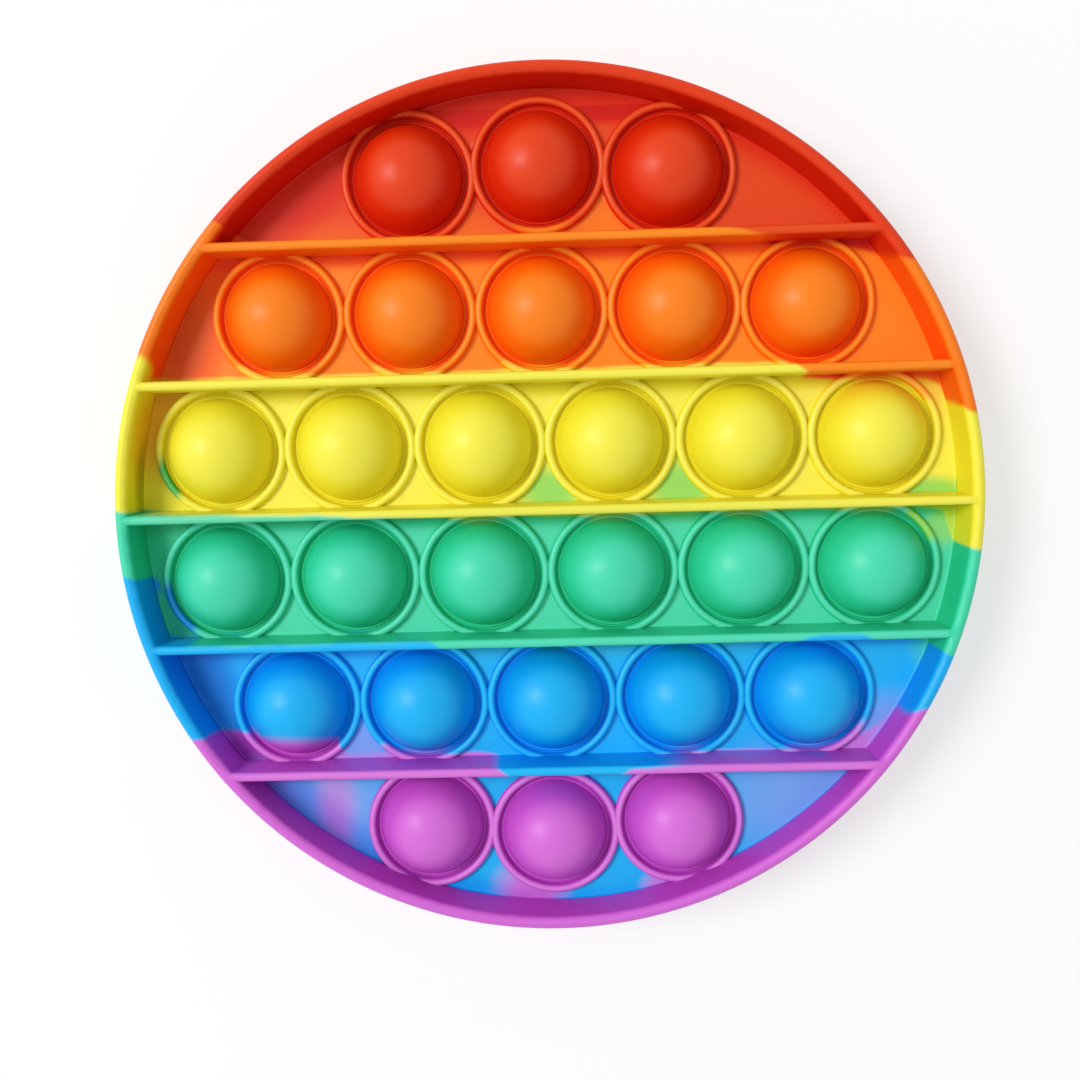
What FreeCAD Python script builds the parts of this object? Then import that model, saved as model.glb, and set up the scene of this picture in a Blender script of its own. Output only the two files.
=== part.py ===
import FreeCAD, Part
import math
import os
import Sketcher

# A round press-the-bubbles toy, moulded in one piece of silicone: a thin web inside a deep rim,
# five ribs that part it into six rows, and twenty-eight hollow domes, each with a ring round its foot.
# Both faces are alike, but for the domes, which stand up. Millimetres, +Z up, resting on its rim at z = 0.
# Each section is drawn about the middle of the web, which is raised by half the rim's height.

NODE = "bubble_disc"
LONG_ROW = 6
MIDDLE_ROW = 5
END_ROW = 3
RIB_LINES = (-2, -1, 0, 1, 2)

# Each driving size once, as the sheet's alias, its value and what it measures.
DRIVING = (
    ("rim_height", 15.0, "Overall thickness, from the lower edge of the rim to the upper one"),
    ("rim_wall", 2.35, "Thickness of the rim where the web joins it"),
    ("rim_lean", 0.3, "How far the rim's inner wall leans out from the web to its edge"),
    ("rim_crown", 0.15, "How far the rim's outer wall leans in from its middle to its edge"),
    ("rim_bevel", 0.6, "Bevel on the rim's edges"),
    ("rim_gap", 1.45, "Clear web between the rim and the outermost ring of the long rows"),
    ("web_thickness", 2.0, "Thickness of the web between the two faces"),
    ("rib_foot", 1.7, "Width of a rib at the middle of its height"),
    ("rib_edge", 1.35, "Width of a rib near its edges"),
    ("rib_bevel", 0.4, "Bevel on a rib's edges"),
    ("dome_radius", 7.8, "Outer radius of a dome, about a centre in the middle of the web"),
    ("dome_wall", 0.9, "Thickness of a dome's wall"),
    ("lip_width", 0.35, "Width of the low step round a dome's foot"),
    ("lip_height", 0.25, "Height of that step over the web"),
    ("groove_width", 0.4, "Width of the groove between the step and the ring"),
    ("ring_width", 1.2, "Width of the ring round a dome"),
    ("ring_height", 0.95, "Height of the ring over the web"),
    ("ring_bevel", 0.35, "Bevel on the ring's edges"),
    ("ring_merge", 0.3, "How far neighbouring rings of one row run into each other"),
    ("row_merge", 0.35, "How far rings of neighbouring rows would meet, inside the rib between them"),
    ("end_squeeze", 0.5, "How much closer the three bubbles of an end row stand"),
    ("end_bow", 1.27, "How far the middle bubble of an end row stands out towards the rim"),
)

# Sizes that follow from the driving ones.
DERIVED = (
    ("half_height", "=rim_height / 2"),
    ("half_web", "=web_thickness / 2"),
    ("lip_top", "=half_web + lip_height"),
    ("lip_radius", "=dome_radius + lip_width"),
    ("ring_inside", "=lip_radius + groove_width"),
    ("ring_reach", "=ring_inside + ring_width"),
    ("bubble_pitch", "=2 * ring_reach - ring_merge"),
    ("row_pitch", "=2 * ring_reach - row_merge"),
    ("end_pitch", "=bubble_pitch - end_squeeze"),
    ("long_corner", "=hypot({0} * bubble_pitch; row_pitch / 2)".format((LONG_ROW - 1) / 2)),
    ("rim_inside", "=long_corner + ring_reach + rim_gap"),
    ("rim_radius", "=rim_inside + rim_wall"),
    ("rib_anchor", "=rim_inside + rim_wall / 2"),
)


def fill_sheet(document):
    """The sheet of sizes: plain numbers with aliases, then the sizes worked out from them."""
    sheet = document.addObject("Spreadsheet::Sheet", "Sizes")
    row = 1
    for alias, value, meaning in DRIVING:
        sheet.set(f"A{row}", str(value))
        sheet.setAlias(f"A{row}", alias)
        sheet.set(f"B{row}", meaning)
        row += 1
    for alias, formula in DERIVED:
        sheet.set(f"A{row}", formula)
        sheet.setAlias(f"A{row}", alias)
        row += 1
    document.recompute()


def new_body(document, name):
    """A body whose own origin lies in the middle of the web."""
    body = document.addObject("PartDesign::Body", name)
    body.setExpression("Placement.Base.z", "Sizes.half_height")
    return body


def origin_part(body, role):
    """The plane or axis of the body's own origin that has this role."""
    return next(part for part in body.Origin.OriginFeatures if part.Role == role)


def new_sketch(body, name, plane, along="0"):
    """A sketch on one of the body's planes, its origin moved along that plane."""
    sketch = body.newObject("Sketcher::SketchObject", name)
    sketch.AttachmentSupport = [(origin_part(body, plane), "")]
    sketch.MapMode = "FlatFace"
    sketch.setExpression("AttachmentOffset.Base.x", along)
    return sketch


def place_point(sketch, geometry, end, axis, expression):
    """Ties one coordinate of a point to an expression, or to the sketch's axis where it is nought."""
    if expression == "0":
        own_axis = -2 if axis == "X" else -1
        sketch.addConstraint(Sketcher.Constraint("PointOnObject", geometry, end, own_axis))
        return
    value = float(sketch.evalExpression(expression))
    constraint = Sketcher.Constraint("Distance" + axis, -1, 1, geometry, end, value)
    index = sketch.addConstraint(constraint)
    sketch.setExpression(f"Constraints[{index}]", expression)


def arc_between(start, finish, centre_y):
    """The arc that turns left from start to finish about a centre at a given height."""
    middle = (start + finish) / 2
    chord = finish - start
    centre_x = middle.x - (centre_y - middle.y) * chord.y / chord.x
    centre = FreeCAD.Vector(centre_x, centre_y, 0)
    circle = Part.Circle(centre, FreeCAD.Vector(0, 0, 1), start.distanceToPoint(centre))
    first = math.atan2(start.y - centre.y, start.x - centre.x)
    last = math.atan2(finish.y - centre.y, finish.x - centre.x)
    if last <= first:
        last += 2 * math.pi
    return Part.ArcOfCircle(circle, first, last)


def draw_outline(sketch, corners):
    """A closed outline, its corners listed anticlockwise as expressions for x and y. The side that
    arrives at a corner is straight, or an arc where the corner also gives its centre's height."""
    points = []
    for corner in corners:
        x, y = (float(sketch.evalExpression(expression)) for expression in corner[:2])
        points.append(FreeCAD.Vector(x, y, 0))
    sides = []
    for index, corner in enumerate(corners):
        start = points[index - 1]
        finish = points[index]
        if len(corner) == 3:
            centre_y = float(sketch.evalExpression(corner[2]))
            sides.append(sketch.addGeometry(arc_between(start, finish, centre_y)))
            place_point(sketch, sides[-1], 3, "Y", corner[2])
        else:
            sides.append(sketch.addGeometry(Part.LineSegment(start, finish)))
    for index, corner in enumerate(corners):
        following = sides[(index + 1) % len(sides)]
        sketch.addConstraint(Sketcher.Constraint("Coincident", sides[index], 2, following, 1))
        place_point(sketch, sides[index], 2, "X", corner[0])
        place_point(sketch, sides[index], 2, "Y", corner[1])


def revolve(body, name, sketch):
    """Turns a sketch through a whole turn about its own upright axis."""
    feature = body.newObject("PartDesign::Revolution", name)
    feature.Profile = sketch
    feature.ReferenceAxis = (sketch, ["V_Axis"])
    feature.Angle = 360


def symmetric(upper):
    """The outline of a section that is alike above and below, from the corners of its upper half."""
    return upper + [(x, f"-({y})") for x, y in reversed(upper)]


def add_rim_and_web(body):
    """The rim with its leaning walls and bevelled edges, and the web that spans it."""
    sketch = new_sketch(body, "RimSection", "XZ_Plane")
    wall_inside = "Sizes.rim_inside + Sizes.rim_lean"
    wall_outside = "Sizes.rim_radius - Sizes.rim_crown"
    draw_outline(sketch, [("Sizes.rim_radius", "0")] + symmetric([
        (wall_outside, "Sizes.half_height - Sizes.rim_bevel"),
        (wall_outside + " - Sizes.rim_bevel", "Sizes.half_height"),
        (wall_inside + " + Sizes.rim_bevel", "Sizes.half_height"),
        (wall_inside, "Sizes.half_height - Sizes.rim_bevel"),
        ("Sizes.rim_inside", "Sizes.half_web"),
        ("0", "Sizes.half_web"),
    ]))
    revolve(body, "RimAndWeb", sketch)


def add_rib(body, line):
    """One rib across the web, as high as the rim, with its ends inside the rim's wall."""
    name = f"Rib{line - RIB_LINES[0] + 1}"
    across = f"{line} * Sizes.row_pitch"
    sketch = new_sketch(body, name + "Section", "YZ_Plane", along=across)
    side = "Sizes.rib_edge / 2"
    land = "(Sizes.rib_edge / 2 - Sizes.rib_bevel)"
    upper = [
        (side, "Sizes.half_height - Sizes.rib_bevel"),
        (land, "Sizes.half_height"),
        (f"-{land}", "Sizes.half_height"),
        (f"-({side})", "Sizes.half_height - Sizes.rib_bevel"),
        ("-Sizes.rib_foot / 2", "Sizes.half_web"),
    ]
    draw_outline(sketch, [("Sizes.rib_foot / 2", "Sizes.half_web")] + symmetric(upper)
                 + [("Sizes.rib_foot / 2", "-Sizes.half_web")])
    rib = body.newObject("PartDesign::Pad", name)
    rib.Profile = sketch
    rib.SideType = "Symmetric"
    rib.setExpression("Length", f"2 * sqrt(Sizes.rib_anchor ^ 2 - ({across}) ^ 2)")


def make_disc(document):
    """The rim, the web and the ribs."""
    body = new_body(document, "Disc")
    add_rim_and_web(body)
    for line in RIB_LINES:
        add_rib(body, line)
    return body


def make_turned(document, name, corners):
    """A body turned from one outline, with its axis at its origin."""
    body = new_body(document, name)
    sketch = new_sketch(body, name + "Section", "XZ_Plane")
    draw_outline(sketch, corners)
    revolve(body, name + "Turned", sketch)
    return body


def make_dome(document):
    """A dome before it is hollowed, with the low step at its foot on both faces of the web."""
    return make_turned(document, "Dome", [
        ("0", "-Sizes.lip_top"),
        ("Sizes.lip_radius", "-Sizes.lip_top"),
        ("Sizes.lip_radius", "Sizes.lip_top"),
        ("sqrt(Sizes.dome_radius ^ 2 - Sizes.lip_top ^ 2)", "Sizes.lip_top"),
        ("0", "Sizes.dome_radius", "0"),
    ])


def make_ring(document):
    """The ring round a dome, which stands out of both faces of the web."""
    top = "Sizes.half_web + Sizes.ring_height"
    return make_turned(document, "Ring", symmetric([
        ("Sizes.ring_reach", f"{top} - Sizes.ring_bevel"),
        ("Sizes.ring_reach - Sizes.ring_bevel", top),
        ("Sizes.ring_inside + Sizes.ring_bevel", top),
        ("Sizes.ring_inside", f"{top} - Sizes.ring_bevel"),
    ]))


def make_hollow(document):
    """The space under a dome, open through the lower face of the web."""
    hollow = "Sizes.dome_radius - Sizes.dome_wall"
    below = "-(Sizes.lip_top + Sizes.dome_wall)"
    return make_turned(document, "Hollow", [
        ("0", below),
        (hollow, below),
        (hollow, "0"),
        ("0", hollow, "0"),
    ])


def bubble_places():
    """Where the bubbles stand, as expressions for x and y: rows of six, five and three each way
    from the middle rib, with the middle bubble of an end row set further out."""
    rows = (
        (LONG_ROW, "Sizes.bubble_pitch"),
        (MIDDLE_ROW, "Sizes.bubble_pitch"),
        (END_ROW, "Sizes.end_pitch"),
    )
    for side in (1, -1):
        for row, (count, pitch) in enumerate(rows):
            for index in range(count):
                x = f"{index - (count - 1) / 2} * {pitch}"
                y = f"{side * (row + 0.5)} * Sizes.row_pitch"
                if count == END_ROW and index == END_ROW // 2:
                    y += f" + {side} * Sizes.end_bow"
                yield x, y


def spread(document, source):
    """A linked copy of a bubble's piece at every bubble's place."""
    copies = []
    for number, (x, y) in enumerate(bubble_places(), start=1):
        copy = document.addObject("App::Link", f"{source.Name}{number}")
        copy.LinkedObject = source
        copy.setExpression("Placement.Base.x", x)
        copy.setExpression("Placement.Base.y", y)
        copy.setExpression("Placement.Base.z", "Sizes.half_height")
        copies.append(copy)
    return copies


def check(document, result):
    """Stops if any object failed, or if the result isn't one valid solid."""
    for item in document.Objects:
        if {"Invalid", "Error"} & set(item.State):
            raise RuntimeError(f"{item.Name} failed: {item.State}")
    shape = result.Shape
    if shape.isNull() or not shape.isValid() or len(shape.Solids) != 1:
        raise RuntimeError("the result isn't one valid solid")


def main():
    document = FreeCAD.newDocument("BubbleDisc")
    fill_sheet(document)
    blank = document.addObject("Part::MultiFuse", "Blank")
    domes = spread(document, make_dome(document))
    rings = spread(document, make_ring(document))
    blank.Shapes = [make_disc(document)] + domes + rings
    hollows = document.addObject("Part::Compound", "Hollows")
    hollows.Links = spread(document, make_hollow(document))
    toy = document.addObject("Part::Cut", "Toy")
    toy.Label = NODE
    toy.Base = blank
    toy.Tool = hollows
    toy.Refine = True
    document.recompute()
    check(document, toy)
    box = toy.Shape.BoundBox
    print(f"volume {toy.Shape.Volume:.1f} mm3, hollows {blank.Shape.Volume - toy.Shape.Volume:.1f} mm3")
    print(f"box {box.XLength:.2f} x {box.YLength:.2f} x {box.ZLength:.2f} mm, base at {box.ZMin:.3f}")
    os.makedirs("parts", exist_ok=True)
    toy.Shape.exportStep(f"parts/{toy.Label}.step")


main()
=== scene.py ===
import math

import bmesh
import bpy
import numpy as np
from mathutils import Matrix, Vector
from mathutils.geometry import delaunay_2d_cdt


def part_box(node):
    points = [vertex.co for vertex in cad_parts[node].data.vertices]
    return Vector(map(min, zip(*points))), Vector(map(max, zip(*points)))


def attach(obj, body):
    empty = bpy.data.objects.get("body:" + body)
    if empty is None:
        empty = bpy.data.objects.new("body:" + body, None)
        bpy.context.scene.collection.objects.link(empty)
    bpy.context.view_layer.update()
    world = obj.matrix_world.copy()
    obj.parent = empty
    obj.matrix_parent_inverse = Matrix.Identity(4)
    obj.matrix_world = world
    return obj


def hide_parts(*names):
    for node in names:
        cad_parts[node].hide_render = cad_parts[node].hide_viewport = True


# The silicone disc as it leaves its mould, with every edge rounded: a web inside a deep rim, five ribs,
# and twenty-eight bubbles, each in its ring. Sizes are in millimetres, about the middle of the web.

NODE = "bubble_disc"
MM = 0.001

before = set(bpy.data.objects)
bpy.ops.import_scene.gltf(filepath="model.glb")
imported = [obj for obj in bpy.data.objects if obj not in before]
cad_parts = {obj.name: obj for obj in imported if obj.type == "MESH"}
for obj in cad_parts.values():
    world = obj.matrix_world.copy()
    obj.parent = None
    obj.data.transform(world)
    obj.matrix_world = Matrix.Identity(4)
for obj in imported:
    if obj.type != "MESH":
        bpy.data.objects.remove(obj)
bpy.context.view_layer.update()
_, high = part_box(NODE)

RIM_RADIUS = high.x / MM
RIM_HEIGHT = 15.0
HALF_HEIGHT = RIM_HEIGHT / 2
DOME_RADIUS = high.z / MM - HALF_HEIGHT
DOME_WALL = 0.9
WEB = 1.0

RIM_WALL = 2.35
RIM_LEAN = 0.3
RIM_CROWN = 0.15
RIM_ROUND = 0.93
RIM_FILLET = 0.35

RIB_FOOT = 1.7
RIB_EDGE = 1.35
RIB_ROUND = 0.6
RIB_FILLET = 0.2

LIP_RADIUS = DOME_RADIUS + 0.35
LIP_TOP = WEB + 0.2
GUTTER = WEB + 0.05
GUTTER_RISE = 0.05
GUTTER_WIDTH = 0.07
LIP_DRAFT = 0.01
LIP_EDGE = 0.06
LIP_FILLET = 0.07
HOLLOW_EDGE = 0.12
RING_INSIDE = LIP_RADIUS + 0.4
RING_WIDTH = 1.2
RING_TOP = WEB + 1.05
RING_ROUND = 0.58
RING_DRAFT = 0.02
RING_FILLET = 0.08

BUBBLE_PITCH = 19.2
ROW_PITCH = 19.15
END_PITCH = 18.7
END_BOW = 1.27
ROW_COUNTS = (6, 5, 3)

# How finely the mesh follows the curves. Angles are in degrees, WELD_DISTANCE is in metres, and DOME_FOOT is
# how far from its top the round of a dome reaches.
BUBBLE_SEGMENTS = 60
DOME_STEPS = 9
HOLLOW_STEPS = 7
DOME_FOOT = 79.5
RIM_SEGMENTS = 288
RIB_STEP = 3.0
CROWN_STEPS = 3
BISECTIONS = 30
LEVEL_TOLERANCE = 1e-6
WELD_DISTANCE = 2e-6
MERGE_DISTANCE = 1e-5
SHARP_ANGLE = 50

# The colours of the silicone, and how they meet: the seam above each colour runs along a rib, through points
# read off the photograph. A seam is soft over SEAM to both sides, or over DOME_SEAM on a dome, and WANDER is
# how far it strays each way. Below END_ROW the web is blue again, round the purple bubbles.
COLOURS = {
    "red": (0.68, 0.021, 0.001, 1),
    "orange": (0.92, 0.137, 0.0015, 1),
    "yellow": (0.84, 0.75, 0.030, 1),
    "green": (0.027, 0.59, 0.32, 1),
    "blue": (0.0015, 0.335, 0.84, 1),
    "purple": (0.565, 0.087, 0.58, 1),
    "lime": (0.18, 0.58, 0.04, 1),
    # Painted shade: a deeper orange for the web in the left wall's shadow.
    "painted_shade_orange": (0.58, 0.085, 0.003, 1),
    # Ochre run into the yellow; by the left wall it is partly painted shade.
    "ochre_and_shade": (0.78, 0.33, 0.01, 1),
    "olive": (0.12, 0.17, 0.01, 1),
    "leaf": (0.03, 0.30, 0.04, 1),
    # Cobalt on a ring, and painted shade as a deeper blue on the web by the left wall.
    "cobalt_and_shade": (0.001, 0.15, 0.55, 1),
    "violet": (0.15, 0.22, 0.76, 1),
    # Painted shade: a deep plum for the web in the shadow of the lower left wall.
    "painted_shade_plum": (0.22, 0.01, 0.38, 1),
}
CURVE_SPAN = 128.0
CURVE_RISE = 28.0
SEAM = 0.4
DOME_SEAM = 1.3
WANDER = (-0.7, 0.7, 0.5)
WANDER_SCALE = 0.2
END_ROW = (-39.0, -39.4)
BOUNDARIES = (
    ("orange", 38.3, (
        (-64, 42.0), (-46, 41.9), (-43, 40.2), (-38, 39.4), (20, 39.3), (26, 39.0), (30, 38.1), (34, 37.2),
        (44, 36.6), (48, 35.6), (51, 33.8), (64, 33.0))),
    ("yellow", 19.15, (
        (-64, 20.6), (-50, 20.3), (34, 20.3), (36.5, 19.2), (38.5, 18.0), (54, 17.6), (57, 16.8),
        (58.6, 14.0), (60.2, 12.4), (64, 12.0))),
    ("green", 0.0, (
        (-64, 1.9), (-59, 1.0), (-45, 0.4), (-31, 0.0), (-20, -0.7), (-10, -1.2), (52, -1.2), (57.5, -1.6),
        (59, -4.5), (60.5, -7.0), (64, -7.5))),
    ("blue", -19.15, (
        (-64, -7.8), (-60, -8.6), (-58, -11.5), (-55, -16.5), (-51, -18.6), (-18, -18.6), (-14, -20.4),
        (34, -20.4), (38, -19.0), (44, -18.8), (48, -20.4), (54, -20.6), (58, -22.4), (64, -22.9))),
    ("purple", -38.3, (
        (-64, -32.0), (-50, -32.6), (-47, -33.0), (-38, -33.4), (-33, -34.2), (-31, -36.8), (-12, -36.9),
        (-9, -37.4), (-4, -39.6), (8, -39.6), (12, -38.2), (18, -37.7), (21, -37.4), (40, -37.3), (45, -35.8),
        (50, -33.0), (53, -30.2), (64, -29.0))),
)

# Patches where one colour has run into another, and some of painted shade, a deeper colour by the left
# wall where its shadow falls: the colour, the zone that it keeps to, and for each patch its middle, its
# reach each way, how soft its edge is and how strong it is. The zones are the web with its fillets, the
# rings, the frame of rim and ribs, and the wall, which is the frame without the outer half of the rim.
PATCHES = (
    ("red", "wall", (
        ((-45.5, 40.8, 3.0), (4.0, 2.4, 3.6), 0.3, 1.0),)),
    ("orange", "web", (
        ((-34.0, 39.4, 1.0), (13.0, 2.4, 4.0), 0.7, 0.25),
        ((-9.3, 38.0, 1.0), (5.0, 4.2, 4.0), 0.7, 0.4),
        ((9.6, 38.5, 1.0), (5.6, 6.6, 4.0), 0.7, 0.75))),
    ("orange", "ring", (
        ((1.0, 38.6, 1.5), (5.5, 2.4, 3.0), 0.5, 0.8),
        ((53.6, 16.6, 2.0), (3.2, 2.6, 3.0), 0.4, 0.7))),
    # Painted shade: deeper orange on the web where the left wall's shadow falls.
    ("painted_shade_orange", "web", (
        ((-53.5, 28.5, 1.0), (4.6, 8.5, 4.0), 0.7, 0.75),)),
    ("yellow", "frame", (
        ((-58.0, 21.0, 7.5), (2.6, 2.6, 3.5), 0.3, 1.0),)),
    ("yellow", "ring", (
        ((-43.2, 20.6, 2.0), (2.6, 1.5, 2.0), 0.5, 0.6),
        ((-23.4, 20.4, 2.0), (2.2, 1.3, 2.0), 0.5, 0.6),
        ((-4.0, 20.3, 2.0), (2.2, 1.3, 2.0), 0.5, 0.6))),
    # The left patch is partly ochre run into the yellow and partly painted shade by the left wall.
    ("ochre_and_shade", "web", (
        ((-57.0, 13.5, 1.0), (4.5, 7.0, 4.0), 0.6, 0.7),
        ((55.5, 12.5, 1.0), (2.6, 6.5, 4.0), 0.6, 0.4))),
    # Partly ochre run and partly painted shade on the left wall.
    ("ochre_and_shade", "wall", (
        ((-59.6, 14.0, 3.0), (2.6, 8.0, 3.6), 0.5, 0.6),)),
    ("olive", "wall", (
        ((-60.0, 6.0, 2.2), (1.2, 6.4, 1.9), 0.6, 0.45),)),
    ("leaf", "ring", (
        ((-56.0, 5.4, 2.0), (2.0, 3.6, 3.0), 0.4, 1.0),)),
    ("green", "frame", (
        ((-35.0, -18.1, 3.2), (19.0, 0.7, 3.9), 0.3, 0.9),)),
    ("green", "web", (
        ((-55.0, -14.0, 1.0), (5.0, 4.6, 4.0), 0.2, 1.0),
        ((1.0, 2.6, 1.0), (3.0, 2.2, 4.0), 0.7, 0.7),
        ((19.9, 2.6, 1.0), (3.2, 2.4, 4.0), 0.7, 0.7),
        ((56.0, 0.9, 1.0), (4.0, 1.6, 4.0), 0.5, 0.4),
        ((57.5, -22.5, 1.0), (3.4, 3.4, 4.0), 0.5, 0.6),
        ((8.0, -20.0, 1.0), (30.0, 1.8, 4.0), 0.6, 0.35))),
    ("lime", "web", (
        ((0.4, 2.6, 1.0), (4.8, 3.4, 4.0), 0.6, 0.9),
        ((19.9, 2.6, 1.0), (5.0, 4.0, 4.0), 0.6, 0.9),
        ((56.5, 0.8, 1.0), (5.0, 2.2, 4.0), 0.5, 0.9),
        ((58.2, -3.8, 1.0), (2.4, 3.0, 4.0), 0.5, 0.7))),
    ("lime", "ring", (
        ((55.0, -3.4, 2.0), (2.6, 3.2, 3.0), 0.3, 0.9),)),
    ("lime", "frame", (
        ((-45.0, -0.3, 7.5), (14.0, 1.0, 2.0), 0.5, 0.2),
        ((6.0, 0.0, 7.5), (34.0, 1.2, 2.0), 0.4, 0.12))),
    ("cobalt_and_shade", "ring", (
        ((-56.0, -14.4, 2.0), (3.6, 4.8, 3.0), 0.25, 1.0),)),
    # Painted shade: a deeper blue on the web in the left wall's shadow.
    ("cobalt_and_shade", "web", (
        ((-52.5, -26.5, 1.0), (5.0, 7.5, 4.0), 0.6, 0.7),)),
    ("violet", "web", (
        ((-43.0, -43.5, 1.0), (7.0, 6.0, 4.0), 0.6, 0.8),
        ((-30.0, -47.0, 1.0), (4.5, 7.0, 4.0), 0.6, 0.5),
        ((-29.0, -35.5, 1.0), (4.5, 4.0, 4.0), 0.7, 0.7),
        ((40.0, -45.0, 1.0), (13.0, 8.0, 4.0), 0.6, 0.55),
        ((51.0, -34.5, 1.0), (4.0, 4.5, 4.0), 0.7, 0.7))),
    # Painted shade: deep plum on the web in the left wall's shadow, each side of the lowest rib.
    ("painted_shade_plum", "web", (
        ((-49.5, -36.6, 1.0), (4.0, 3.0, 4.0), 0.6, 0.8),
        ((-47.0, -41.5, 1.0), (4.0, 2.6, 4.0), 0.7, 0.7))),
    ("purple", "web", (
        ((-33.5, -45.0, 1.0), (2.6, 7.0, 4.0), 0.8, 0.6),
        ((-4.0, -60.0, 1.0), (4.6, 5.5, 4.0), 0.6, 0.9),
        ((16.5, -59.0, 1.0), (3.0, 3.0, 4.0), 0.5, 0.8))),
    ("purple", "ring", (
        ((-24.0, -37.4, 2.0), (2.8, 2.6, 3.0), 0.3, 0.9),
        ((42.0, -37.0, 2.0), (6.0, 4.5, 3.0), 0.3, 0.9))),
)

# A face whose middle is no higher over the web than FOOT_LEVEL is flat web, and up to FILLET_LEVEL it is a
# fillet, which has the web's colour.
FOOT_LEVEL = 0.02
FILLET_LEVEL = 0.32

# Painted light and shade: how pale each part of the surface is, as steps of its height over the
# middle of the web and the tone there. Above 0 is paler than the colour itself, and below 0 is deeper.
# The flat web and the tops of rim, ribs and rings are painted paler, as lit from above, and the walls
# and the feet of the rings deeper, as painted shade. A dome's steps run from the groove, painted deep
# as shade, over the low step, whose top is a painted highlight, and the flank to the top, painted paler.
WEB_TONE = 1.5
WALL_TONE = -0.7
WALL_TONES = ((WEB, WEB_TONE), (WEB + RIM_FILLET, WALL_TONE), (HALF_HEIGHT - RIM_ROUND, WALL_TONE))
RIM_TONES = WALL_TONES + ((HALF_HEIGHT - 0.2, 0.9),)
RIB_TONES = WALL_TONES + ((HALF_HEIGHT - 0.2, 1.5),)
RING_TONES = ((WEB + 0.3, WALL_TONE), (RING_TOP - 0.3, 0.0), (RING_TOP, 2.0))
DOME_TONES = (
    (LIP_TOP - 0.05, -1.4), (LIP_TOP, 1.6), (LIP_TOP + 0.1, -0.1), (3.5, -0.1), (4.8, 0.0), (6.8, 1.1))
TONE_GAMMA = -0.2

# Painted shadow: the web is deeper in colour along the left and upper wall, where their shadow falls, more
# and more over RIM_SHADE_REACH from a point a little right of the middle, and in the shadow just below each
# rib. LOWEST_SHADE keeps it off the foot of the lower wall.
SHADE_CENTRE = (5.0, -1.7, 1.0)
RIM_SHADE = -1.7
RIM_SHADE_REACH = (55.8, 60.2)
RIB_SHADE = -3.2
RIB_SHADE_REACH = (-3.2, -0.9)
LOWEST_SHADE = -2.2 * ROW_PITCH

# The grain and the slow swell of the surface, and its gloss.
GRAIN_SCALE = 3.5
GRAIN_HEIGHT = 0.012
SWELL_SCALE = 0.35
SWELL_HEIGHT = 0.05
BUMP = 0.7
ROUGHNESS = 0.34
GRAIN_ROUGHNESS = 0.12
SPECULAR = 0.25

# The photograph's viewpoint: turns about the three axes, in radians, and where the middle of the toy lies as
# the camera sees it.
LENS = 38.8
CAMERA_TURNS = (("Z", 0.0246), ("Y", -0.0273), ("X", 0.1011))
CAMERA_AWAY = (1.0449, 4.9399, -173.5098)

# The light, in metres and watts, and the floor.
AMBIENT = 0.59
KEY_PLACE = (-0.944, 0.32, 1.248)
KEY_SIZE = 0.6
KEY_POWER = 15.3
FLOOR_HALF = 3.0
FLOOR_COLOUR = (0.94, 0.94, 0.94, 1)
FLOOR_ROUGHNESS = 0.9
FLOOR_GLOW = 0.55
WHITE = (1, 1, 1, 1)


def bead(edge, foot, top, crown, fillet, fillet_steps):
    """Half of a raised bead's section as its distance from the ridge and its height: a flat top, a round
    edge, a side that leans from edge to foot, and a small fillet on to the web."""
    offsets = []
    heights = []
    for step in range(CROWN_STEPS + 1):
        turn = math.pi / 2 * step / CROWN_STEPS
        offsets.append(edge - crown + crown * math.sin(turn))
        heights.append(top - crown + crown * math.cos(turn))
    for step in range(fillet_steps + 1):
        turn = math.pi / 2 * step / fillet_steps
        offsets.append(foot + fillet - fillet * math.cos(turn))
        heights.append(WEB + fillet - fillet * math.sin(turn))
    return np.array(offsets), np.array(heights)


class Feature:
    """Something that stands on the web. Its section is the same all along its ridge."""

    def height(self, points):
        return np.interp(self.offset(points), self.offsets, self.heights, right=WEB)


class Ring(Feature):
    """The ring round one bubble."""

    ridge = RING_INSIDE + RING_WIDTH / 2
    offsets, heights = bead(RING_WIDTH / 2, RING_WIDTH / 2 + RING_DRAFT, RING_TOP, RING_ROUND, RING_FILLET, 1)
    steps = np.arange(BUBBLE_SEGMENTS) * 2 * math.pi / BUBBLE_SEGMENTS
    closed = True
    sides = (-1, 1)

    def __init__(self, centre):
        self.centre = np.array(centre)

    def offset(self, points):
        return np.abs(np.linalg.norm(points - self.centre, axis=1) - self.ridge)

    def place(self, along, across):
        radius = self.ridge + across
        return self.centre + np.stack([radius * np.cos(along), radius * np.sin(along)], axis=1)


class Rib(Feature):
    """One straight rib, from rim to rim."""

    offsets, heights = bead(RIB_EDGE / 2, RIB_FOOT / 2, HALF_HEIGHT, RIB_ROUND, RIB_FILLET, 2)
    reach = math.ceil(RIM_RADIUS / RIB_STEP) * RIB_STEP
    steps = np.arange(-reach, reach + RIB_STEP / 2, RIB_STEP)
    closed = False
    sides = (-1, 1)

    def __init__(self, y):
        self.y = y

    def offset(self, points):
        return np.abs(points[:, 1] - self.y)

    def place(self, along, across):
        return np.stack([along, self.y + across], axis=1)


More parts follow.
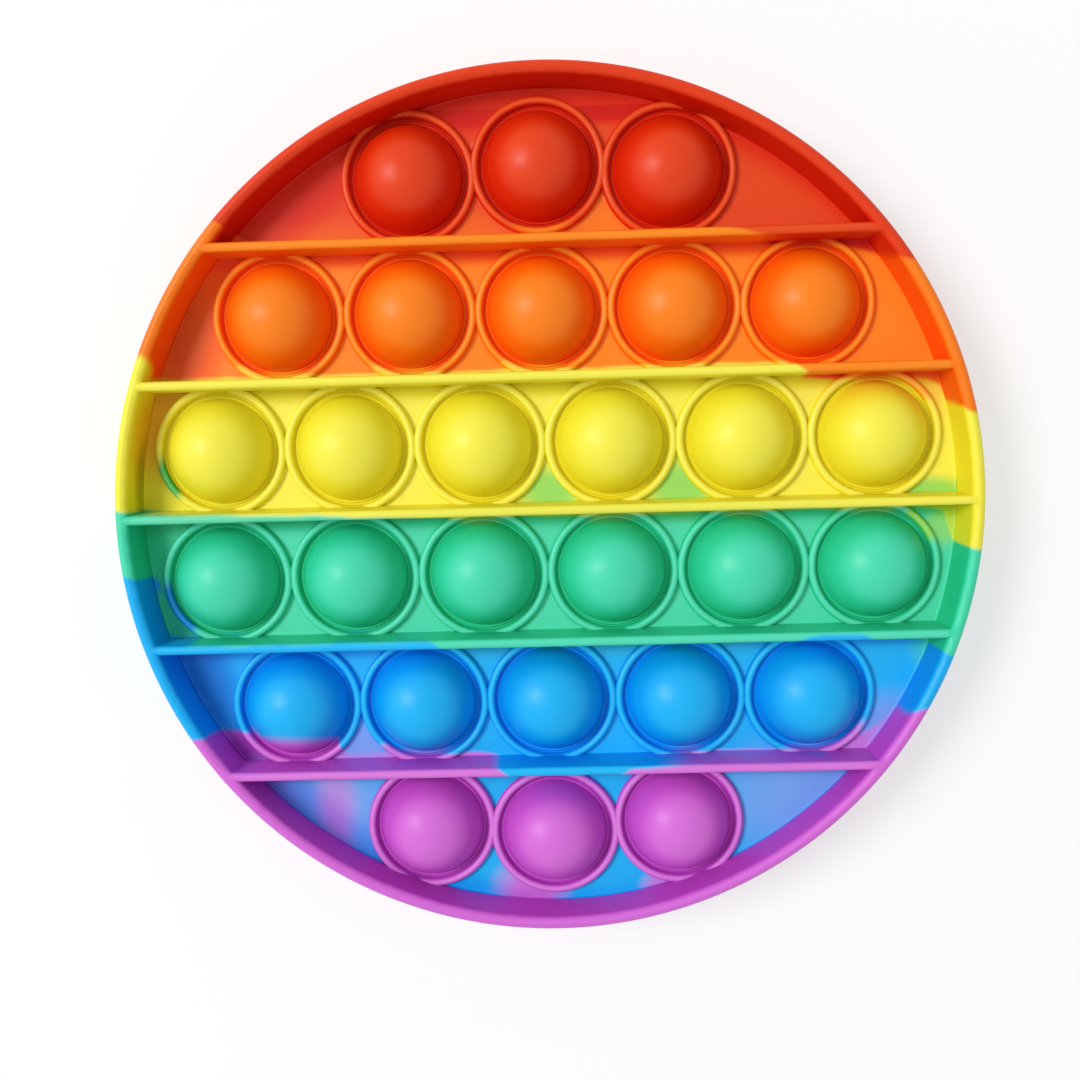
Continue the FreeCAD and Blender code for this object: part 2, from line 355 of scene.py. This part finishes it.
class Rim(Feature):
    """The inner half of the rim, from the middle of its top."""

    inside = RIM_RADIUS - RIM_WALL
    ridge = (inside + RIM_LEAN + RIM_RADIUS - RIM_CROWN) / 2
    offsets, heights = bead(ridge - inside - RIM_LEAN, ridge - inside, HALF_HEIGHT, RIM_ROUND, RIM_FILLET, 2)
    offsets = np.insert(offsets, 0, 0.0)
    heights = np.insert(heights, 0, HALF_HEIGHT)
    closed = True
    sides = (-1,)

    def __init__(self, rib_lines):
        """The rim has a point of its own wherever the edge of a rib's flat top runs on to its ridge."""
        whole_turn = 2 * math.pi
        meetings = []
        for y in rib_lines:
            for edge in (y - Rib.offsets[0], y + Rib.offsets[0]):
                angle = math.asin(edge / self.ridge)
                meetings += [angle % whole_turn, math.pi - angle]
        spacing = whole_turn / RIM_SEGMENTS
        even = np.arange(RIM_SEGMENTS) * spacing
        gaps = np.abs((even[:, None] - np.array(meetings) + math.pi) % whole_turn - math.pi)
        self.steps = np.sort(np.concatenate([even[gaps.min(axis=1) > spacing / 2], meetings]))

    def offset(self, points):
        return self.ridge - np.linalg.norm(points, axis=1)

    def height(self, points):
        beyond = np.maximum(-self.offset(points), 0)
        return super().height(points) + beyond

    def place(self, along, across):
        radius = self.ridge + across
        return np.stack([radius * np.cos(along), radius * np.sin(along)], axis=1)


def bubble_centres():
    """Where the bubbles stand: rows of six, five and three each way from the middle rib."""
    centres = []
    for side in (1, -1):
        for row, count in enumerate(ROW_COUNTS):
            pitch = END_PITCH if row == len(ROW_COUNTS) - 1 else BUBBLE_PITCH
            for index in range(count):
                x = (index - (count - 1) / 2) * pitch
                y = side * (row + 0.5) * ROW_PITCH
                if row == len(ROW_COUNTS) - 1 and x == 0:
                    y += side * END_BOW
                centres.append((x, y))
    return centres


def trace(feature, others):
    """The feature's own lines, cut where they dive under another feature: points, heights, edges, the
    cut ends, and the other feature at each of them."""
    along, across, own, following = [], [], [], []
    first = 0
    curves = [(side * offset, height) for offset, height in zip(feature.offsets, feature.heights)
              for side in (feature.sides if offset > 0 else (1,))]
    for offset, height in curves:
        count = len(feature.steps)
        along.append(feature.steps)
        across.append(np.full(count, offset))
        own.append(np.full(count, height))
        after = first + (np.arange(count) + 1) % count
        if not feature.closed:
            after[-1] = -1
        following.append(after)
        first += count
    along, across, own = (np.concatenate(values) for values in (along, across, own))
    following = np.concatenate(following)

    def clear(at, offset, level):
        points = feature.place(at, offset)
        return level - np.max([other.height(points) for other in others], axis=0)

    kept = clear(along, across, own) >= -LEVEL_TOLERANCE
    start = np.flatnonzero(following >= 0)
    finish = following[start]
    whole = kept[start] & kept[finish]
    cut = kept[start] != kept[finish]
    inner = np.where(kept[start[cut]], start[cut], finish[cut])
    outer = np.where(kept[start[cut]], finish[cut], start[cut])
    near = along[inner].copy()
    far = along[outer].copy()
    if feature.closed:
        far += np.round((near - far) / (2 * math.pi)) * 2 * math.pi
    for _ in range(BISECTIONS):
        middle = (near + far) / 2
        on_surface = clear(middle, across[inner], own[inner]) >= -LEVEL_TOLERANCE
        near = np.where(on_surface, middle, near)
        far = np.where(on_surface, far, middle)
    beyond = feature.place(far, across[inner])
    cutters = np.argmax([other.height(beyond) for other in others], axis=0)
    number = np.full(len(along), -1)
    number[kept] = np.arange(kept.sum())
    points = np.concatenate([feature.place(along[kept], across[kept]), feature.place(near, across[inner])])
    heights = np.concatenate([own[kept], own[inner]])
    ends = kept.sum() + np.arange(len(inner))
    edges = np.concatenate([
        np.stack([number[start[whole]], number[finish[whole]]], axis=1),
        np.stack([number[inner], ends], axis=1),
    ])
    return points, heights, edges, ends, cutters


def join_ends(features, points, meetings):
    """Edges from cut end to cut end, along each line where a ring runs into another feature."""
    edges = []
    for (first, _), ends in meetings.items():
        if not isinstance(features[first], Ring):
            continue
        ends = np.array(ends)
        spokes = points[ends] - features[first].centre
        middle = spokes.mean(axis=0)
        turns = np.arctan2(middle[0] * spokes[:, 1] - middle[1] * spokes[:, 0], spokes @ middle)
        chain = ends[np.argsort(turns)]
        edges.append(np.stack([chain[:-1], chain[1:]], axis=1))
    return edges


def lay_out(features, centres, hole_radius):
    """Triangles over the whole web inside the rim's ridge, but for a round hole at every bubble."""
    points, heights, edges, holes = [], [], [], []
    meetings = {}
    total = 0
    for number, feature in enumerate(features):
        others = [other for other in features if other is not feature]
        found, levels, links, ends, cutters = trace(feature, others)
        for end, cutter in zip(ends + total, cutters + (cutters >= number)):
            meetings.setdefault((min(number, cutter), max(number, cutter)), []).append(end)
        points.append(found)
        heights.append(levels)
        edges.append(links + total)
        holes.append(np.full(len(found), -1))
        total += len(found)
    for number, centre in enumerate(centres):
        turn = Ring.steps
        points.append(np.array(centre) + hole_radius * np.stack([np.cos(turn), np.sin(turn)], axis=1))
        heights.append(np.full(len(turn), WEB))
        index = np.arange(len(turn))
        edges.append(np.stack([index, (index + 1) % len(turn)], axis=1) + total)
        holes.append(np.full(len(turn), number))
        total += len(turn)
    edges += join_ends(features, np.concatenate(points), meetings)
    points, heights, edges, holes = (np.concatenate(values) for values in (points, heights, edges, holes))
    flat, _, faces, sources, _, _ = delaunay_2d_cdt(
        [Vector(p) for p in points], [tuple(int(i) for i in e) for e in edges], [], 0, MERGE_DISTANCE, True)
    flat = np.array([tuple(v) for v in flat])
    surface = np.max([feature.height(flat) for feature in features], axis=0)
    level = np.array([max(heights[i] for i in source) if source else surface[n]
                      for n, source in enumerate(sources)])
    hole = np.array([max(holes[i] for i in source) if source else -1 for source in sources])
    faces = np.array(faces)
    inside = (hole[faces[:, 0]] >= 0) & (hole[faces[:, 0]] == hole[faces[:, 1]]) \
        & (hole[faces[:, 1]] == hole[faces[:, 2]])
    return flat, level, faces[~inside]


def turned(section, centre, angles):
    """A surface turned about an upright axis: rings of points, one to each point of the section, with
    faces that look outwards where the section runs inwards and up."""
    section = np.array(section)
    turn_x, turn_y = np.cos(angles), np.sin(angles)
    rings = [np.stack([centre[0] + r * turn_x, centre[1] + r * turn_y, np.full(len(angles), z)], axis=1)
             for r, z in section]
    count = len(angles)
    faces = []
    for ring in range(len(section) - 1):
        for step in range(count):
            after = (step + 1) % count
            faces.append((ring * count + step, ring * count + after,
                          (ring + 1) * count + after, (ring + 1) * count + step))
    return np.concatenate(rings), faces


def cap(section, centre, angles):
    """A turned surface that closes in a single point on its axis, the section's last point."""
    points, faces = turned(section[:-1], centre, angles)
    pole = len(points)
    points = np.concatenate([points, [(centre[0], centre[1], section[-1][1])]])
    last = (len(section) - 2) * len(angles)
    for step in range(len(angles)):
        faces.append((last + step, last + (step + 1) % len(angles), pole))
    return points, faces


def lip_section(hole_radius):
    """The groove's floor and the low step, from the hole in the web to the step's top edge."""
    return [
        (hole_radius, WEB),
        (LIP_RADIUS + LIP_FILLET, WEB),
        (LIP_RADIUS + LIP_DRAFT, WEB + LIP_FILLET),
        (LIP_RADIUS, LIP_TOP - LIP_EDGE),
        (LIP_RADIUS - LIP_EDGE, LIP_TOP),
    ]


def dome_section(hole_radius):
    """From the groove over the step, through the gutter behind it and up the dome to its top."""
    section = lip_section(hole_radius)
    section += [(DOME_RADIUS, GUTTER), (DOME_RADIUS - GUTTER_WIDTH, GUTTER + GUTTER_RISE)]
    for step in range(DOME_STEPS + 1):
        turn = math.radians(DOME_FOOT) * (1 - step / DOME_STEPS)
        section.append((DOME_RADIUS * math.sin(turn), DOME_RADIUS * math.cos(turn)))
    return section


def hollow_section(hole_radius):
    """From the groove of the lower face over its step and up into the hollow dome. Heights are upwards."""
    inside = DOME_RADIUS - DOME_WALL
    section = [(radius, -height) for radius, height in lip_section(hole_radius)]
    section += [(inside + HOLLOW_EDGE, -LIP_TOP), (inside, HOLLOW_EDGE - LIP_TOP)]
    for step in range(HOLLOW_STEPS + 1):
        turn = math.pi / 2 * (1 - step / HOLLOW_STEPS)
        section.append((inside * math.sin(turn), inside * math.cos(turn)))
    return section


def outer_wall(ridge):
    """The outer half of the rim, from the middle of its lower edge round to the middle of its upper one."""
    edge = RIM_RADIUS - RIM_CROWN
    upper = [(RIM_RADIUS, 0.0)]
    for step in range(CROWN_STEPS + 2):
        turn = math.pi / 2 * (1 - step / (CROWN_STEPS + 1))
        upper.append((edge - RIM_ROUND + RIM_ROUND * math.sin(turn),
                      HALF_HEIGHT - RIM_ROUND + RIM_ROUND * math.cos(turn)))
    upper.append((ridge, HALF_HEIGHT))
    return [(r, -z) for r, z in reversed(upper[1:])] + upper


def ramp(height, steps):
    """The tone at each height, on straight lines from step to step."""
    heights, tones = zip(*steps)
    return np.interp(height, heights, tones)


def mark_zones(mesh, centres):
    """Notes each face's zone, web, ring or inside one, and the painted light and shade at its corners."""
    middles = np.empty(len(mesh.polygons) * 3)
    mesh.polygons.foreach_get("center", middles)
    middles = middles.reshape(-1, 3) / MM
    height = np.abs(middles[:, 2] - HALF_HEIGHT)
    away = np.min([np.linalg.norm(middles[:, :2] - centre, axis=1) for centre in centres], axis=0)
    dome = away < RING_INSIDE
    flat = ~dome & (height < WEB + FOOT_LEVEL)
    ring = ~dome & ~flat & (np.abs(away - Ring.ridge) < RING_WIDTH / 2 + RING_DRAFT) & (height < RING_TOP)
    web = ~dome & ~ring & (height < WEB + FILLET_LEVEL)
    rib = np.linalg.norm(middles[:, :2], axis=1) < Rim.inside
    zones = np.column_stack([web, ring, dome]).astype(float)
    mesh.attributes.new("zones", "FLOAT_VECTOR", "FACE").data.foreach_set("vector", zones.ravel())

    places = np.empty(len(mesh.vertices) * 3)
    mesh.vertices.foreach_get("co", places)
    corners = np.empty(len(mesh.loops), dtype=int)
    mesh.loops.foreach_get("vertex_index", corners)
    sides = np.empty(len(mesh.polygons), dtype=int)
    mesh.polygons.foreach_get("loop_total", sides)
    flat, ring, dome, rib = (np.repeat(zone, sides) for zone in (flat, ring, dome, rib))
    height = np.abs(places[2::3] / MM - HALF_HEIGHT)[corners]
    # Painted light and shade: each corner's tone, paler on tops, deeper on walls and in the groove.
    tones = [WEB_TONE, ramp(height, RING_TONES), ramp(height, DOME_TONES), ramp(height, RIB_TONES)]
    tone = np.select([flat, ring, dome, rib], tones, ramp(height, RIM_TONES))
    mesh.attributes.new("tone", "FLOAT", "CORNER").data.foreach_set("value", tone)


def build_disc():
    """The whole moulding as one closed mesh."""
    centres = bubble_centres()
    rib_lines = [line * ROW_PITCH for line in (-2, -1, 0, 1, 2)]
    rim = Rim(rib_lines)
    features = [Ring(centre) for centre in centres] + [Rib(y) for y in rib_lines] + [rim]
    hole_radius = (LIP_RADIUS + RING_INSIDE) / 2
    flat, level, faces = lay_out(features, centres, hole_radius)
    upper = np.column_stack([flat, level])
    lower = np.column_stack([flat, -level])
    pieces = [(upper, faces), (lower, faces[:, ::-1])]
    for centre in centres:
        pieces.append(cap(dome_section(hole_radius), centre, Ring.steps))
        points, sides = cap(hollow_section(hole_radius), centre, Ring.steps)
        pieces.append((points, [tuple(reversed(side)) for side in sides]))
    pieces.append(turned(outer_wall(rim.ridge), (0.0, 0.0), rim.steps))
    vertices, polygons, total = [], [], 0
    for points, sides in pieces:
        vertices.append(points)
        polygons += [[int(i) + total for i in side] for side in sides]
        total += len(points)
    vertices = np.concatenate(vertices)
    vertices[:, 2] += HALF_HEIGHT
    mesh = bpy.data.meshes.new("silicone_disc")
    mesh.from_pydata((vertices * MM).tolist(), [], polygons)
    work = bmesh.new()
    work.from_mesh(mesh)
    bmesh.ops.remove_doubles(work, verts=work.verts, dist=WELD_DISTANCE)
    open_edges = sum(1 for edge in work.edges if not edge.is_manifold)
    triangles = sum(len(face.verts) - 2 for face in work.faces)
    print("open edges", open_edges, "triangles", triangles)
    work.to_mesh(mesh)
    work.free()
    mark_zones(mesh, centres)
    return mesh


def add_disc():
    mesh = build_disc()
    mesh.shade_smooth()
    mesh.set_sharp_from_angle(angle=math.radians(SHARP_ANGLE))
    disc = bpy.data.objects.new("silicone_disc", mesh)
    bpy.context.scene.collection.objects.link(disc)
    normals = disc.modifiers.new("Even normals", "WEIGHTED_NORMAL")
    normals.keep_sharp = True
    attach(disc, "root")
    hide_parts(NODE)
    return disc


class Graph:
    """Short ways to add a material's nodes. An input is a number, a colour or another node's output."""

    def __init__(self, tree):
        self.tree = tree

    def add(self, kind, inputs, **settings):
        node = self.tree.nodes.new(kind)
        for name, value in settings.items():
            setattr(node, name, value)
        for name, value in inputs.items():
            if isinstance(value, bpy.types.NodeSocket):
                self.tree.links.new(value, node.inputs[name])
            else:
                node.inputs[name].default_value = value
        return node

    def math(self, operation, a, b=0.0, c=0.0):
        return self.add("ShaderNodeMath", {0: a, 1: b, 2: c}, operation=operation).outputs[0]

    def vector(self, operation, a, b, c=(0, 0, 0)):
        return self.add("ShaderNodeVectorMath", {0: a, 1: b, 2: c}, operation=operation).outputs[0]

    def length(self, a):
        return self.add("ShaderNodeVectorMath", {0: a}, operation="LENGTH").outputs["Value"]

    def axes(self, a):
        return self.add("ShaderNodeSeparateXYZ", {0: a}).outputs

    def smooth(self, value, low, high, top=1.0):
        """0 at low or beyond it, top at high or beyond it, and smooth in between."""
        inputs = {"Value": value, "From Min": low, "From Max": high, "To Max": top}
        return self.add("ShaderNodeMapRange", inputs, interpolation_type="SMOOTHSTEP").outputs[0]

    def mix(self, factor, a, b):
        return self.add("ShaderNodeMix", {0: factor, 6: a, 7: b}, data_type="RGBA").outputs[2]

    def noise(self, place, scale, detail):
        return self.add("ShaderNodeTexNoise", {"Vector": place, "Scale": scale, "Detail": detail})

    def curve(self, value, points):
        """A curve through points whose two numbers are both from 0 to 1."""
        node = self.add("ShaderNodeFloatCurve", {"Value": value})
        line = node.mapping.curves[0]
        while len(line.points) < len(points):
            line.points.new(0.5, 0.5)
        for knot, (across, up) in zip(line.points, points):
            knot.location = (across, up)
            knot.handle_type = "AUTO_CLAMPED"
        node.mapping.update()
        return node.outputs[0]


def seams(graph, place, dome):
    """The six colours of the silicone, each below the seam that has its name."""
    axes = graph.axes(place)
    across = graph.math("MULTIPLY_ADD", axes["X"], 1 / CURVE_SPAN, 0.5)
    softness = graph.math("MULTIPLY_ADD", dome, DOME_SEAM - SEAM, SEAM)
    colour = COLOURS["red"]
    for name, rib_y, knots in BOUNDARIES:
        points = [(x / CURVE_SPAN + 0.5, (y - rib_y) / CURVE_RISE + 0.5) for x, y in knots]
        line = graph.math("MULTIPLY_ADD", graph.curve(across, points), CURVE_RISE, rib_y - CURVE_RISE / 2)
        above = graph.math("SUBTRACT", axes["Y"], line)
        below = graph.smooth(graph.math("DIVIDE", above, softness), 1.0, -1.0)
        colour = graph.mix(below, colour, COLOURS[name])
    return colour


def patch_share(graph, place, patches):
    """How much of a patch's colour there is at a place, for the strongest of these patches."""
    share = 0.0
    for middle, reach, soft, strength in patches:
        scale = [1 / length for length in reach]
        offset = [-at * size for at, size in zip(middle, scale)]
        distance = graph.length(graph.vector("MULTIPLY_ADD", place, scale, offset))
        share = graph.math("MAXIMUM", graph.smooth(distance, 1 + soft, 1 - soft, strength), share)
    return share


def colour_field(graph, place, web, ring, dome):
    """The colours of the marbled silicone at a place given in millimetres from the toy's middle."""
    wander = graph.vector("SUBTRACT", graph.noise(place, WANDER_SCALE, 1.0).outputs["Fac"], (0.5, 0.5, 0.5))
    moved = graph.vector("ADD", place, graph.vector("MULTIPLY", wander, WANDER))
    end_row = graph.smooth(graph.axes(moved)["Y"], *END_ROW)
    colour = graph.mix(graph.math("MULTIPLY", end_row, web), seams(graph, moved, dome), COLOURS["blue"])

    frame_share = graph.math("SUBTRACT", 1.0, graph.math("ADD", web, graph.math("ADD", ring, dome)))
    radius = graph.length(graph.vector("MULTIPLY", place, (1, 1, 0)))
    wall = graph.math("MULTIPLY", frame_share, graph.math("LESS_THAN", radius, Rim.ridge))
    zones = {"web": web, "ring": ring, "frame": frame_share, "wall": wall}
    for name, zone, patches in PATCHES:
        share = graph.math("MULTIPLY", patch_share(graph, moved, patches), zones[zone])
        colour = graph.mix(share, colour, COLOURS[name])
    return colour


def web_shade(graph, place):
    """Painted shadow: how much deeper the web is beside the left and upper wall and below each rib."""
    distance = graph.length(graph.vector("SUBTRACT", place, SHADE_CENTRE))
    line = graph.math("MAXIMUM", graph.axes(place)["Y"], LOWEST_SHADE)
    rib_side = graph.math("WRAP", line, 0.0, -ROW_PITCH)
    shade = graph.math("ADD", graph.smooth(distance, *RIM_SHADE_REACH, RIM_SHADE),
                       graph.smooth(rib_side, *RIB_SHADE_REACH, RIB_SHADE))
    return graph.math("MAXIMUM", shade, RIB_SHADE)


def silicone():
    """Marbled silicone with a soft sheen and the fine grain of its mould."""
    material = bpy.data.materials.new("rainbow_silicone")
    material.use_nodes = True
    graph = Graph(material.node_tree)
    where = graph.add("ShaderNodeTexCoord", {}).outputs["Object"]
    millimetres = graph.vector("MULTIPLY", where, (1 / MM, 1 / MM, 1 / MM))
    place = graph.vector("SUBTRACT", millimetres, (0, 0, HALF_HEIGHT))
    zones = graph.axes(graph.add("ShaderNodeAttribute", {}, attribute_name="zones").outputs["Vector"])
    web, ring, dome = zones["X"], zones["Y"], zones["Z"]
    # The tone is painted light and shade, and the web's painted shadow is added to it.
    tone = graph.add("ShaderNodeAttribute", {}, attribute_name="tone").outputs["Fac"]
    tone = graph.math("ADD", tone, graph.math("MULTIPLY", web_shade(graph, place), web))
    gamma = graph.math("MULTIPLY_ADD", tone, TONE_GAMMA, 1.0)
    marbled = colour_field(graph, place, web, ring, dome)
    colour = graph.add("ShaderNodeGamma", {"Color": marbled, "Gamma": gamma}).outputs[0]

    bsdf = graph.tree.nodes["Principled BSDF"]
    graph.tree.links.new(colour, bsdf.inputs["Base Color"])
    grain = graph.noise(place, GRAIN_SCALE, 0.0).outputs["Fac"]
    swell = graph.noise(place, SWELL_SCALE, 0.0).outputs["Fac"]
    roughness = graph.math("MULTIPLY_ADD", grain, GRAIN_ROUGHNESS, ROUGHNESS)
    graph.tree.links.new(roughness, bsdf.inputs["Roughness"])
    relief = graph.math("MULTIPLY_ADD", grain, GRAIN_HEIGHT, graph.math("MULTIPLY", swell, SWELL_HEIGHT))
    bump = graph.add("ShaderNodeBump", {"Height": relief, "Distance": MM, "Strength": BUMP})
    graph.tree.links.new(bump.outputs[0], bsdf.inputs["Normal"])
    bsdf.inputs["Specular IOR Level"].default_value = SPECULAR
    return material


def add_camera():
    """The photograph's viewpoint: nearly straight down, a little past the centre of the toy."""
    camera = bpy.data.objects.new("camera", bpy.data.cameras.new("camera"))
    camera.data.sensor_width = 36.0
    camera.data.lens = LENS
    camera.data.clip_start = 0.01
    turn = Matrix.Identity(3)
    for axis, angle in CAMERA_TURNS:
        turn = turn @ Matrix.Rotation(angle, 3, axis)
    away = Vector(CAMERA_AWAY) * MM
    location = -(turn.transposed() @ away) + Vector((0, 0, HALF_HEIGHT * MM))
    camera.matrix_world = Matrix.Translation(location) @ turn.transposed().to_4x4()
    bpy.context.scene.collection.objects.link(camera)
    bpy.context.scene.camera = camera


def add_key():
    """A large soft lamp over the toy's upper left."""
    lamp = bpy.data.objects.new("key", bpy.data.lights.new("key", "AREA"))
    lamp.data.shape = "DISK"
    lamp.data.size = KEY_SIZE
    lamp.data.energy = KEY_POWER
    lamp.location = KEY_PLACE
    lamp.rotation_mode = "QUATERNION"
    lamp.rotation_quaternion = (-lamp.location).to_track_quat("-Z", "Y")
    bpy.context.scene.collection.objects.link(lamp)


def seen_directly(graph):
    """1 for what the camera sees, straight or in a reflection, and 0 for what only gives light."""
    path = graph.add("ShaderNodeLightPath", {}).outputs
    seen = graph.math("ADD", path["Is Camera Ray"], path["Is Glossy Ray"])
    return graph.math("MINIMUM", graph.math("ADD", seen, path["Is Transmission Ray"]), 1.0)


def add_floor():
    """A plain pale floor that keeps the toy's shadow."""
    mesh = bpy.data.meshes.new("floor")
    corners = [(x * FLOOR_HALF, y * FLOOR_HALF, 0) for x, y in ((-1, -1), (1, -1), (1, 1), (-1, 1))]
    mesh.from_pydata(corners, [], [(0, 1, 2, 3)])
    floor = bpy.data.objects.new("floor", mesh)
    bpy.context.scene.collection.objects.link(floor)
    paint = bpy.data.materials.new("pale_floor")
    paint.use_nodes = True
    graph = Graph(paint.node_tree)
    bsdf = graph.tree.nodes["Principled BSDF"]
    bsdf.inputs["Base Color"].default_value = FLOOR_COLOUR
    bsdf.inputs["Roughness"].default_value = FLOOR_ROUGHNESS
    glow = graph.add("ShaderNodeEmission", {"Color": WHITE, "Strength": 1.0}).outputs[0]
    share = graph.math("MULTIPLY", seen_directly(graph), FLOOR_GLOW)
    surface = graph.add("ShaderNodeMixShader", {0: share, 1: bsdf.outputs[0], 2: glow}).outputs[0]
    graph.tree.links.new(surface, graph.tree.nodes["Material Output"].inputs["Surface"])
    mesh.materials.append(paint)


def add_surround():
    """White where it is seen, and soft light from all round at the strength AMBIENT."""
    world = bpy.data.worlds.new("surround")
    world.use_nodes = True
    graph = Graph(world.node_tree)
    strength = graph.math("MULTIPLY_ADD", seen_directly(graph), 1.0 - AMBIENT, AMBIENT)
    background = graph.tree.nodes["Background"]
    background.inputs["Color"].default_value = WHITE
    graph.tree.links.new(strength, background.inputs["Strength"])
    bpy.context.scene.world = world


disc = add_disc()
disc.data.materials.append(silicone())
add_camera()
add_floor()
add_surround()
add_key()
bpy.context.scene.view_settings.view_transform = "Standard"
